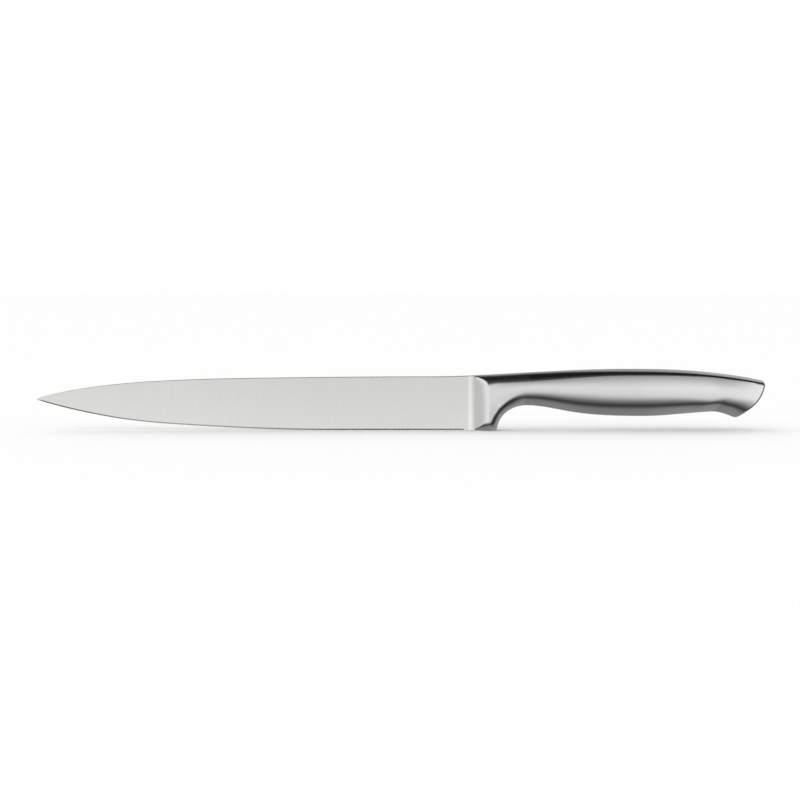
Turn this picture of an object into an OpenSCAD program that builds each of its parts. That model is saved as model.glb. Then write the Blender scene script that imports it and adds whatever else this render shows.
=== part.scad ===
// Carving knife with a slim fixed blade and a hollow all-steel handle.
// The blade lies along X with its tip at -X, the spine faces +Z and the thickness runs along Y.
// The origin is under the middle of the knife, level with the underside of the guard.

/* [Blade] */
// Length of the ground blade, from the tip to the front of the bolster's scoop
blade_len = 186.5; // [160:0.5:210]
// Height of the blade where edge and spine run straight
blade_h = 23.3; // [20:0.05:28]
// Height of the straight edge above the underside of the guard
edge_lift = 0.1; // [0.05:0.05:1.5]
// How far the tip lies below the straight spine
tip_drop = 9.65; // [7:0.05:13]
// Height of the blunt end of the tip
tip_flat = 0.5; // [0.4:0.05:0.8]
// Length over which the edge sweeps up to the tip
belly_len = 125; // [100:1:150]
// Length over which the spine falls to the tip
spine_fall_len = 172; // [140:1:185]
// Thickness of the spine at the bolster
spine_t = 2.4; // [1.8:0.1:3.2]
// Thickness behind the edge at the heel
edge_t = 0.7; // [0.5:0.05:0.9]
// Thickness of the spine at the tip
tip_t = 0.7; // [0.5:0.05:0.9]
// Height of the sharpened bevel along the edge
bevel_h = 0.55; // [0.3:0.05:1]
// Length of the heel that is left unsharpened
heel_len = 1.4; // [1:0.1:4]
// Depth of the eased corner along the spine
spine_soft = 0.12; // [0.05:0.01:0.3]

/* [Bolster] */
// Length of the blade's flared root in front of the seam with the bolster
root_len = 3.5; // [3:0.1:4.5]
// Radius of the hollow where the scoop leaves the blade
scoop_r = 4.6; // [3:0.1:4.8]
// Angle at which the scoop rises to its crease
scoop_angle = 42; // [36:1:43]
// Length from the front of the scoop to the rear corner of the guard
guard_len = 13.2; // [11:0.1:15]
// Length of the finger recess, from the guard to the neck
finger_len = 12.7; // [11:0.1:15]
// Height of the finger recess
finger_rise = 10.85; // [9:0.05:12]
// Straight run from the finger recess to the seam with the handle
neck_run = 1.6; // [1:0.1:3]
// Width of the bolster
bolster_w = 13; // [12:0.1:15]
// Radius of the rounded underside of the guard
guard_round = 4; // [3:0.1:5]
// Radius of the rear corner of the guard, seen from the side
guard_soft = 1; // [0.4:0.1:1.4]
// Length of the spigot that the handle shells seat on
spigot_len = 10; // [6:0.5:14]

/* [Tang] */
// Thickness of the blade's tang
tang_t = 3; // [2:0.1:3.2]
// Height of the tang
tang_h = 7; // [5:0.1:8]
// Height of the tang's centre above the base
tang_z = 17.5; // [16.5:0.1:18.5]
// Length of the tang that stands out behind the spigot
tang_tail = 4; // [2:0.5:8]
// Clearance between the tang and its slot, on each side
tang_fit = 0.05; // [0.02:0.01:0.15]

/* [Handle] */
// Length of the handle, from the top of the finger recess to the butt
grip_len = 102.6; // [96:0.1:115]
// Height of the back of the handle at the scoop
back_z = 23.9; // [23.4:0.05:25]
// Height of the back of the handle at its crest
crest_z = 26.65; // [25.5:0.05:28.5]
// Distance from the neck to the crest
crest_at = 44.6; // [38:0.1:50]
// Height of the upper corner of the butt
corner_z = 21.6; // [20.5:0.1:23.5]
// Height of the underside at the belly
belly_z = 6.2; // [5:0.05:7.5]
// Distance from the neck to the lowest place of the belly
belly_at = 50.5; // [46:0.1:54]
// Height of the underside at the waist in front of the hook
waist_z = 8.15; // [7:0.05:9.5]
// Distance from the butt to the waist
waist_back = 22.5; // [20:0.1:25]
// Height of the point of the hook
hook_z = 5.6; // [4.5:0.1:7]
// Distance from the butt to the point of the hook
hook_back = 13.3; // [11:0.1:15]
// How far the butt's end face bows out from a straight cut
butt_bow = 2.9; // [2:0.05:4]
// How much more the end face bends in its upper half than in its lower half
butt_skew = 0.3; // [0:0.05:0.6]
// Width of the handle at the neck
neck_w = 12.4; // [11:0.1:14]
// Width of the handle at its belly
belly_w = 15.6; // [14:0.1:18]
// Width of the handle at its waist
waist_w = 14.6; // [13:0.1:17]
// Width of the handle at the butt
butt_w = 16; // [14:0.1:19]
// Radius of the rounded back at the bolster
back_round = 6; // [4:0.1:6.5]
// Radius of the rounded back at its crest
crest_round = 4.8; // [3:0.1:6]
// Radius of the rounded back at the butt
corner_round = 2; // [1.8:0.1:4]
// Radius of the rounded underside at the neck
neck_round = 7.5; // [5:0.1:8]
// Radius of the rounded underside at the belly
belly_round = 10.5; // [8:0.1:11.5]
// Radius of the rounded underside at the waist and the hook
waist_round = 8; // [6:0.1:9]
// Share of its width that the flank loses towards its upper and lower end
crown = 0.1; // [0.02:0.01:0.15]

/* [Shells and cap] */
// Wall of the pressed handle shells
wall = 1; // [0.8:0.05:1.5]
// Clearance between the shells and what they seat on, on each side
seat_fit = 0.05; // [0.02:0.01:0.15]
// Thickness of the butt cap at its upper corner
cap_t = 3.2; // [2:0.1:5]
// Length of the cap's lip inside the shells
lip_len = 4; // [2:0.1:6]
// Radius of the edge round the butt at its upper corner
rim = 0.5; // [0.2:0.05:0.8]
// Radius of the edge round the butt at the hook
hook_rim = 2.4; // [1:0.1:2.5]
// Half the width of a weld bead
bead_w = 0.6; // [0.3:0.05:0.8]
// Depth of a weld bead
bead_d = 0.5; // [0.3:0.05:0.7]
// Side of the fillet beads behind the bolster
fillet = 1.6; // [1:0.1:2]

/* [Ballast] */
// Length of the ballast in the closed handle
fill_len = 52; // [20:1:60]
// Gap round the ballast
fill_gap = 0.3; // [0.1:0.05:0.6]

/* [Hidden] */

// Places along the knife, measured from the tip
plunge_x = blade_len;
root_x = plunge_x + root_len;
guard_x = plunge_x + guard_len;
neck_x = guard_x + finger_len;
seam_x = neck_x + neck_run;
end_x = neck_x + grip_len;
cap_x = end_x - cap_t;
spigot_x = seam_x + spigot_len;
fill_x = spigot_x + tang_tail + fillet;
crest_x = neck_x + crest_at;
belly_x = neck_x + belly_at;
waist_x = end_x - waist_back;
hook_x = end_x - hook_back;

// Heights
spine_z = edge_lift + blade_h;
tip_z = spine_z - tip_drop - tip_flat;

// Stations and points round a section
side_steps = 16;
blade_steps = 34;
handle_steps = 24;
guard_steps = 9;
finger_steps = 10;
cap_steps = 3;
rim_step = 30;
fillet_step = 8;

// Skim that the scoop cut takes off the blade's faces, and the slight crown of its spine
skim = 0.05;
spine_crown = 0.03;

// Unit curves of knots: place, height and slope, scaled by the lengths and heights above
edge_sweep = [[0, 1, -2.9], [0.1, 0.735, -2.3], [0.25, 0.435, -1.7], [0.5, 0.178, -0.6], [1, 0, 0]];
spine_fall = [
    [0, 1, -7.5],
    [0.04, 0.792, -4],
    [0.15, 0.45, -2.35],
    [0.3, 0.207, -1],
    [0.5, 0.081, -0.3],
    [1, 0, 0]
];

// Knots of the handle's outline: place, height and slope
back_knots = [
    [spine_fall_len, spine_z, 0.005],
    [root_x, back_z, 0.05],
    [neck_x + 15, back_z + (crest_z - back_z) * 0.72, 0.05],
    [crest_x, crest_z, 0],
    [waist_x, crest_z - (crest_z - corner_z) * 0.305, -0.11],
    [end_x, corner_z, -0.22]
];
under_knots = [
    [neck_x, finger_rise, 0],
    [neck_x + belly_at * 0.38, belly_z + (finger_rise - belly_z) * 0.44, -0.165],
    [belly_x, belly_z, 0],
    [waist_x, waist_z, 0.03],
    [hook_x, hook_z, -0.42]
];

// Knots of the handle's width and of its rounding above and underneath
width_knots = [
    [plunge_x, bolster_w / 2, 0],
    [guard_x, bolster_w / 2, 0],
    [seam_x, neck_w / 2, 0],
    [belly_x, belly_w / 2, 0],
    [waist_x, waist_w / 2, 0],
    [end_x, butt_w / 2, 0]
];
top_rounds = [
    [neck_x, back_round, 0],
    [crest_x, crest_round, 0],
    [end_x, corner_round, 0]
];
low_rounds = [
    [guard_x, guard_round, 0],
    [neck_x, neck_round, 0],
    [belly_x, belly_round, 0],
    [waist_x, waist_round, 0],
    [end_x, waist_round, 0]
];

// Smooth curve through knots of place, height and slope
function knot_at(knots, x, i = 0) =
    i < len(knots) - 2 && x > knots[i + 1][0] ? knot_at(knots, x, i + 1)
    : let (
        a = knots[i],
        b = knots[i + 1],
        run = b[0] - a[0],
        t = min(1, max(0, (x - a[0]) / run)),
        near = t * t * (3 - 2 * t)
    )
    a[1] * (1 - near) + b[1] * near + run * t * (1 - t) * (a[2] * (1 - t) - b[2] * t);

// Height of the edge, the underside of the guard, the finger recess and the grip
function edge_z(x) = edge_lift + (tip_z - edge_lift) * knot_at(edge_sweep, x / belly_len);
function soft_z(u) = guard_soft - sqrt(guard_soft * guard_soft - u * u);
function guard_z(x) =
    edge_lift * (1 - min(1, (x - plunge_x) / root_len)) + soft_z(max(0, x - guard_x + guard_soft));
function finger_z(x) =
    max(guard_soft, finger_rise * sqrt(max(0, 1 - pow((neck_x - x) / finger_len, 2))));
function under_z(x) =
    x <= plunge_x ? edge_z(x)
    : x <= guard_x ? guard_z(x)
    : x < neck_x ? finger_z(x)
    : knot_at(under_knots, x);

// Height of the spine and of the back of the handle
function over_z(x) =
    x <= spine_fall_len
    ? spine_z - tip_drop * knot_at(spine_fall, x / spine_fall_len)
    : knot_at(back_knots, x);

// Half thickness of the blade, a plane that thins towards the edge and towards the tip
face_lean = (spine_t - edge_t) / 2 / blade_h;
face_taper = (spine_t / 2 + (tip_z - spine_z) * face_lean - tip_t / 2) / plunge_x;
function blade_y(x, z) = spine_t / 2 + (z - spine_z) * face_lean + (x - plunge_x) * face_taper;

// Rise of the scoop above the blade's plane: a hollow, then a straight ramp
ramp_start = scoop_r * sin(scoop_angle);
function ramp_y(u) = scoop_r * (1 - cos(scoop_angle)) + (u - ramp_start) * tan(scoop_angle);
function scoop_y(u) =
    u <= 0 ? 0
    : u < ramp_start ? scoop_r - sqrt(scoop_r * scoop_r - u * u)
    : ramp_y(u);
function face_y(x, z) = blade_y(x, z) + scoop_y(x - plunge_x);

// A rib joins the back to the underside. Ribs stand upright along the grip, and lean and bow
// more and more towards the butt, until the last one is the curve of the end face.
fan_x = belly_x;
function lean(x) = x <= fan_x ? 0 : pow((x - fan_x) / (end_x - fan_x), 1.4);
function rib_foot(x) = x - hook_back * lean(x);
function rib(x) = [[x, over_z(x)], [rib_foot(x), under_z(rib_foot(x))], butt_bow * lean(x)];
function chord(r) = norm(r[1] - r[0]);
function rib_len(r) = chord(r) * (1 + 8 / 3 * pow(r[2] / chord(r), 2));

// Point of a rib at a share v of its length from the back
function rib_pt(r, v) =
    let (
        down = (r[1] - r[0]) / chord(r),
        bow = 4 * r[2] * v * (1 - v) * (1 + butt_skew * (1 - 2 * v))
    )
    r[0] * (1 - v) + r[1] * v + [-down[1], down[0]] * bow;

// Rounding of an edge: 0 on the outline, 1 from one radius inward
function dome(d) = d <= 0 ? 0 : d >= 1 ? 1 : sqrt(1 - (1 - d) * (1 - d));

// Distance from the wall of the finger recess, a quarter of an ellipse
function finger_gap(x, z) =
    let (
        p = [(x - neck_x) / finger_len, z / finger_rise],
        f = max(0.001, norm(p))
    )
    (f - 1) * f / norm([p[0] / finger_len, p[1] / finger_rise]);
function low_dome(x, z, d, inset) =
    let (round = knot_at(low_rounds, x))
    x < neck_x
    ? dome((z - under_z(min(x, guard_x))) / guard_round) * dome(finger_gap(x, z) / round)
    : dome(d / (round - inset));

// Point of the handle's skin on the rib at x, at a share v from the back. The outline is set
// inward by inset, and each flank by narrow where that differs.
function skin_pt(x, v, inset = 0, narrow = undef) =
    let (
        r = rib(x),
        full = rib_len(r),
        s = inset + v * (full - 2 * inset),
        p = rib_pt(r, s / full),
        bulge = 1 - crown * pow(2 * s / full - 1, 2),
        half = knot_at(width_knots, x) * bulge - (narrow == undef ? inset : narrow),
        top = dome((s - inset) / (knot_at(top_rounds, x) - inset))
    )
    [p[0], half * top * low_dome(x, p[1], full - inset - s, inset), p[1]];

// Shares at which a section is sampled, close together near the back and the underside
function share(k) = (1 - cos(180 * k / side_steps)) / 2;
function mirror_pt(p) = [p[0], -p[1], p[2]];
function closed_ring(right) = concat(right, [for (k = [len(right) - 2:-1:1]) mirror_pt(right[k])]);
function skin_ring(x, inset = 0) = closed_ring([for (k = [0:side_steps]) skin_pt(x, share(k), inset)]);

// Share of the rib where the skin is one bead wide
function bead_depth(x, round, inset) =
    round * (1 - sqrt(1 - pow(bead_w / (knot_at(width_knots, x) * (1 - crown) - inset), 2)));
function rib_share(x, d, inset) = d / (rib_len(rib(x)) - 2 * inset);
function bead_top(x, inset = 0) =
    skin_pt(x, rib_share(x, bead_depth(x, knot_at(top_rounds, x), inset), inset), inset);
function bead_low(x, inset = 0) =
    skin_pt(x, 1 - rib_share(x, bead_depth(x, knot_at(low_rounds, x), inset), inset), inset);
function mid_pt(x, d) = let (r = rib(x), p = rib_pt(r, d / rib_len(r))) [p[0], 0, p[1]];
function mid_low(x, d) = mid_pt(x, rib_len(rib(x)) - d);

// Section of one shell: groove, outer skin, groove, inner skin
function shell_ring(x, inset) =
    let (inner = [for (k = [side_steps - 1:-1:1]) skin_pt(x, share(k), wall)])
    concat(
        [mid_pt(x, bead_d), bead_top(x, inset)],
        [for (k = [1:side_steps - 1]) skin_pt(x, share(k), inset)],
        [bead_low(x, inset), mid_low(x, bead_d), skin_pt(x, 1, wall)],
        inner,
        [skin_pt(x, 0, wall)]
    );

// Section of the blade: spine, eased corner, flat face, bevel. The faces stand proud of the
// ground planes by a skim, which the scoop cut takes off. In the root the spine and the underside
// follow the bolster's rounding.
function corner_drop(y, round) = round * (1 - sqrt(1 - pow(y / (bolster_w / 2 * (1 - crown)), 2)));
function in_root(x) = min(1, max(0, (x - plunge_x) / root_len));
function blade_ring(x, inset = 0, proud = skim) =
    let (
        high = over_z(x) - under_z(x),
        top = over_z(x) - inset,
        low = under_z(x) + inset,
        soft = min(spine_soft, high / 4) * (1 - in_root(x)),
        y_top = face_y(x, top) - inset,
        y_low = face_y(x, low) - inset,
        y_ease = in_root(x) > 0 ? y_top * 0.6 : y_top - soft,
        sharp = x > plunge_x - heel_len ? 0.02 : min(bevel_h, high * 0.3),
        top_drop = spine_crown + soft + proud + corner_drop(y_top + proud, back_round),
        low_rise = sharp * (1 + proud / y_low) + corner_drop(y_low + proud, guard_round) * in_root(x)
    )
    closed_ring([
        [x, 0, top],
        [x, y_ease, top - spine_crown - corner_drop(y_ease, back_round) * in_root(x)],
        [x, y_top + proud, top - top_drop],
        [x, y_low + proud, low + low_rise],
        [x, 0, low]
    ]);

// Solid through a row of sections. Each section runs from its top point down the +Y side to its
// lowest point and back up, so that points k and n - k face each other.
module loft(rings) {
    n = len(rings[0]);
    last = (len(rings) - 1) * n;
    wall_quads = [
        for (i = [0:len(rings) - 2], k = [0:n - 1])
            [i * n + k, i * n + (k + 1) % n, (i + 1) * n + (k + 1) % n, (i + 1) * n + k]
    ];
    start_quads = [for (k = [0:n / 2 - 1]) [k, (n - k) % n, n - k - 1, k + 1]];
    end_quads = [for (k = [0:n / 2 - 1]) [last + k, last + k + 1, last + n - k - 1, last + (n - k) % n]];
    triangles = [
        for (q = concat(wall_quads, start_quads, end_quads), t = [[q[0], q[1], q[2]], [q[0], q[2], q[3]]])
            if (t[0] != t[1] && t[1] != t[2] && t[0] != t[2]) t
    ];
    polyhedron(points = [for (ring = rings, p = ring) p], faces = triangles, convexity = 6);
}

// Closed band whose sections follow one another round a loop
module band(sections) {
    n = len(sections[0]);
    count = len(sections);
    triangles = [
        for (i = [0:count - 1], k = [0:n - 1])
            let (j = (i + 1) % count, m = (k + 1) % n)
            for (t = [[i * n + k, j * n + k, j * n + m], [i * n + k, j * n + m, i * n + m]]) t
    ];
    polyhedron(points = [for (s = sections, p = s) p], faces = triangles, convexity = 6);
}

// Cut that leaves the flat of the blade and the scoop on one side: the plane of the blade's face,
// the hollow in short flats and a straight ramp. It leans with the blade's face.
module scoop_cut() {
    far = bolster_w * 2;
    ramp_end = ramp_start + bolster_w;
    hollow = [
        for (a = [fillet_step:fillet_step:scoop_angle - 1])
            [scoop_r * sin(a), scoop_r * (1 - cos(a))]
    ];
    slice = concat(
        [[-plunge_x - far, 0], [0, 0]],
        hollow,
        [[ramp_start, ramp_y(ramp_start)], [ramp_end, ramp_y(ramp_end)]],
        [[ramp_end, far], [-plunge_x - far, far]]
    );
    turn = atan(face_taper);
    tilt = atan(face_lean * cos(turn));
    translate([plunge_x, blade_y(plunge_x, 0), 0]) rotate([-tilt, 0, turn]) translate([0, 0, -far])
        linear_extrude(crest_z + 2 * far) polygon(slice);
}

// Straight bar of the tang, or with a clearance the slot that it fills
module tang_bar(from_x, to_x, fit) {
    translate([from_x, -tang_t / 2 - fit, tang_z - tang_h / 2 - fit])
        cube([to_x - from_x, tang_t + 2 * fit, tang_h + 2 * fit]);
}

// Ground blade with its flared root and its tang
module blade() {
    bevel_x = plunge_x - heel_len;
    run = [for (k = [0:blade_steps]) bevel_x * pow(k / blade_steps, 1.6)];
    hollow = [
        for (a = [fillet_step:fillet_step:scoop_angle - 1])
            if (scoop_r * sin(a) < root_len - bead_w)
                plunge_x + scoop_r * sin(a)
    ];
    stations = concat(run, [bevel_x + heel_len / 2, plunge_x], hollow, [root_x - bead_w / 2]);
    color("gainsboro") union() {
        difference() {
            loft(concat([for (x = stations) blade_ring(x)], [blade_ring(root_x, bead_d, 0)]));
            scoop_cut();
            mirror([0, 1, 0]) scoop_cut();
        }
        tang_bar(root_x - 1, spigot_x + tang_tail, 0);
    }
}

// Bolster with its scooped front, guard, finger recess, neck and spigot
module bolster() {
    front = [for (k = [0:guard_steps]) root_x + (guard_x - root_x) * sin(90 * k / guard_steps)];
    recess = [for (k = [1:finger_steps]) neck_x - finger_len * cos(90 * k / finger_steps)];
    body_rings = [for (x = concat(front, recess, [seam_x - bead_w])) skin_ring(x)];
    groove_ring = skin_ring(seam_x, bead_d);
    spigot_rings = [for (x = [seam_x, spigot_x]) skin_ring(x, wall + seat_fit)];
    color("silver") difference() {
        loft(concat(body_rings, [groove_ring], spigot_rings));
        scoop_cut();
        mirror([0, 1, 0]) scoop_cut();
        tang_bar(root_x - 1, spigot_x + 1, tang_fit);
    }
}

// Bead in the groove between the blade's root and the bolster
module root_weld() {
    front = blade_ring(root_x - bead_w / 2, 0, 0);
    rear = blade_ring(root_x, 0, 0);
    deep = blade_ring(root_x, bead_d, 0);
    color("darkgray") band([for (k = [0:len(front) - 1]) [front[k], deep[k], rear[k]]]);
}

// Fillet beads that hold the tang behind the spigot
module tang_weld() {
    color("darkgray") for (side = [0, 1]) mirror([0, side, 0])
        translate([spigot_x, tang_t / 2, tang_z - tang_h / 2])
            linear_extrude(tang_h) polygon([[0, 0], [fillet, 0], [0, fillet]]);
}

// Stations of the shells and of the beads along them
long_from = seam_x + bead_w;
long_to = cap_x - bead_w;
long_run = [for (k = [0:handle_steps]) long_from + (long_to - long_from) * k / handle_steps];

// Half of the hollow handle, on the +Y side
module shell() {
    loft(concat(
        [shell_ring(seam_x, bead_d)],
        [for (x = long_run) shell_ring(x, 0)],
        [shell_ring(cap_x, bead_d)]
    ));
}
module handle_shell_right() {
    color("lightgray") shell();
}
module handle_shell_left() {
    color("lightsteelblue") mirror([0, 1, 0]) shell();
}

// Section of the cap's rear. Along runs from 0 behind the bead to 1 at the rim, then turn goes
// round the rim, whose radius grows towards the hook.
cap_full_x = cap_x + bead_w;
hook_radius = min(hook_rim, cap_t - bead_w - 0.1);
function rim_radius(v) = rim + (hook_radius - rim) * pow(v, 5);
function cap_pt(v, along, turn) =
    let (
        radius = rim_radius(v),
        x = cap_full_x + (end_x - radius - cap_full_x) * along + radius * sin(turn)
    )
    skin_pt(x, v, rim * (1 - cos(turn)), radius * (1 - cos(turn)));
function cap_ring(along, turn) = closed_ring([for (k = [0:side_steps]) cap_pt(share(k), along, turn)]);

// End plate of the handle with its locating lip and rounded rim
module butt_cap() {
    lip_rings = [for (x = [cap_x - lip_len, cap_x - lip_len / 2, cap_x]) skin_ring(x, wall + seat_fit)];
    cap_rings = [for (k = [0:cap_steps]) cap_ring(k / cap_steps, 0)];
    rim_rings = [for (turn = [rim_step:rim_step:90]) cap_ring(1, turn)];
    color("silver") loft(concat(lip_rings, [skin_ring(cap_x, bead_d)], cap_rings, rim_rings));
}

// Bead round a seam that crosses the handle at x
module cross_weld(x) {
    front = skin_ring(x - bead_w);
    rear = skin_ring(x + bead_w);
    deep = skin_ring(x, bead_d);
    color("darkgray") band([for (k = [0:len(front) - 1]) [front[k], deep[k], rear[k]]]);
}

// Beads in the grooves along the top and bottom seams of the handle
function top_bead(x) = closed_ring([skin_pt(x, 0), bead_top(x), mid_pt(x, bead_d)]);
function low_bead(x) = closed_ring([mid_low(x, bead_d), bead_low(x), skin_pt(x, 1)]);
module spine_weld() {
    color("darkgray") loft([for (x = long_run) top_bead(x)]);
}
module belly_weld() {
    color("darkgray") loft([for (x = long_run) low_bead(x)]);
}

// Ballast that fills the front of the closed handle
module balance_fill() {
    run = [for (k = [0:6]) fill_x + fill_len * k / 6];
    color("tan") loft([for (x = run) skin_ring(x, wall + fill_gap)]);
}

module neck_weld() {
    cross_weld(seam_x);
}
module butt_weld() {
    cross_weld(cap_x);
}

// Moves the knife from its tip to its own origin
module centred() {
    translate([-end_x / 2, 0, 0]) children();
}

centred() blade();
centred() bolster();
centred() root_weld();
centred() tang_weld();
centred() handle_shell_left();
centred() handle_shell_right();
centred() butt_cap();
centred() neck_weld();
centred() spine_weld();
centred() belly_weld();
centred() butt_weld();
centred() balance_fill();
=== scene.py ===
"""Looks of an all-steel carving knife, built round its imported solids.

Every length is in metres. A distance called x in the shape functions runs from the tip towards
the butt; the knife's own frame has its origin under the middle, so points are moved by TIP_X.
"""

import math

import bmesh
import bpy
from bpy.props import FloatProperty, FloatVectorProperty, IntProperty, PointerProperty
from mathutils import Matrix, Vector


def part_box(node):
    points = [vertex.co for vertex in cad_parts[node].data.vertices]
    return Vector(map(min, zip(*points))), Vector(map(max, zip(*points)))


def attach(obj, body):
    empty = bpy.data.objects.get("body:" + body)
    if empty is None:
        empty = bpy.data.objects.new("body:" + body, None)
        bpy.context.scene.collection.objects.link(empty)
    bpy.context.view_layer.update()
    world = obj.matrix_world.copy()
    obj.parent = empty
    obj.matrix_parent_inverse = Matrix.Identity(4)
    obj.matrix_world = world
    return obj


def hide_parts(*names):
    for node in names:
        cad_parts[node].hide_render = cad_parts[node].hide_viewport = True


bl_info = {
    "name": "Carving Knife",
    "version": (1, 0, 0),
    "blender": (4, 5, 0),
    "location": "View3D > Sidebar > Knife",
    "description": "Builds the finished surfaces of a hollow-handled steel carving knife",
    "category": "Mesh",
}

# Points closer than MERGE become one, and TINY keeps divisions away from 0
MERGE = 2e-7
TINY = 0.001

# Edges flatter than this are shaded smooth, in degrees: on the blade and on the rest
BLADE_SMOOTH = 8.0
SMOOTH = 22.0

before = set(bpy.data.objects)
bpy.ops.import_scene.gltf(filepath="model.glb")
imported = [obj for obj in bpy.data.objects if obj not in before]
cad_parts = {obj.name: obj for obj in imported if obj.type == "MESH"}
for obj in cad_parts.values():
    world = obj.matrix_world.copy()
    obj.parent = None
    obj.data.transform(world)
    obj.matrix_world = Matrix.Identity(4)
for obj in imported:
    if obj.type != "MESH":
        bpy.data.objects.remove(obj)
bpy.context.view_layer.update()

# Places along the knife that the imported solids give, measured from the tip
TIP_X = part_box("blade")[0].x
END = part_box("butt_cap")[1].x - TIP_X
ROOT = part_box("root_weld")[1].x - TIP_X
SEAM = (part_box("neck_weld")[0].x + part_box("neck_weld")[1].x) / 2 - TIP_X
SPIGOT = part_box("bolster")[1].x - TIP_X
TANG_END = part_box("blade")[1].x - TIP_X


def size_prop(name, description, default):
    """Property that holds a length"""
    return FloatProperty(name=name, description=description, default=default, unit="LENGTH")


def share_prop(name, description, default):
    """Property that holds a share"""
    return FloatProperty(name=name, description=description, default=default, subtype="FACTOR")


def angle_prop(name, description, default):
    """Property that holds an angle"""
    return FloatProperty(name=name, description=description, default=default, subtype="ANGLE")


def colour_prop(name, description, default):
    """Property that holds a colour"""
    return FloatVectorProperty(name=name, description=description, default=default, subtype="COLOR")


class BladeSettings(bpy.types.PropertyGroup):
    """Sizes of the ground blade"""

    length: size_prop("Length", "From the tip to the front of the scoop", 0.1865)
    height: size_prop("Height", "Height where edge and spine run straight", 0.0233)
    edge_lift: size_prop(
        "Edge Lift", "Height of the straight edge above the guard's underside", 0.0001
    )
    tip_drop: size_prop("Tip Drop", "How far the tip lies below the straight spine", 0.00965)
    tip_flat: size_prop("Tip Flat", "Height of the blunt end of the tip", 0.0005)
    belly: size_prop("Belly", "Length over which the edge sweeps up to the tip", 0.125)
    spine_fall: size_prop("Spine Fall", "Length over which the spine falls to the tip", 0.172)
    spine: size_prop("Spine", "Thickness of the spine at the bolster", 0.0024)
    edge: size_prop("Edge", "Thickness behind the edge at the heel", 0.0007)
    tip: size_prop("Tip", "Thickness of the spine at the tip", 0.0007)
    bevel: size_prop("Bevel", "Height of the sharpened bevel", 0.00055)
    heel: size_prop("Heel", "Length of the heel that is left unsharpened", 0.0014)
    soft: size_prop("Eased Corner", "Depth of the eased corner along the spine", 0.00012)


class BolsterSettings(bpy.types.PropertyGroup):
    """Sizes of the bolster"""

    width: size_prop("Width", "Width of the bolster", 0.013)
    scoop: size_prop(
        "Scoop Radius", "Radius of the hollow where the scoop leaves the blade", 0.0046
    )
    ramp: angle_prop(
        "Scoop Angle", "Angle at which the scoop rises to its crease", math.radians(42)
    )
    crease: size_prop("Crease", "Softness of the crease between the scoop and the flank", 0.002)
    guard: size_prop(
        "Guard", "From the front of the scoop to the rear corner of the guard", 0.0132
    )
    finger: size_prop("Finger Recess", "Length of the finger recess", 0.0127)
    rise: size_prop("Recess Height", "Height of the finger recess", 0.01085)
    rounding: size_prop("Guard Rounding", "Radius of the rounded underside of the guard", 0.004)
    soft: size_prop(
        "Guard Corner", "Radius of the rear corner of the guard, seen from the side", 0.001
    )
    tang: size_prop("Tang Thickness", "Thickness of the tang", 0.003)
    tang_height: size_prop("Tang Height", "Height of the tang", 0.007)
    tang_level: size_prop("Tang Level", "Height of the tang's centre above the base", 0.0175)


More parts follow.
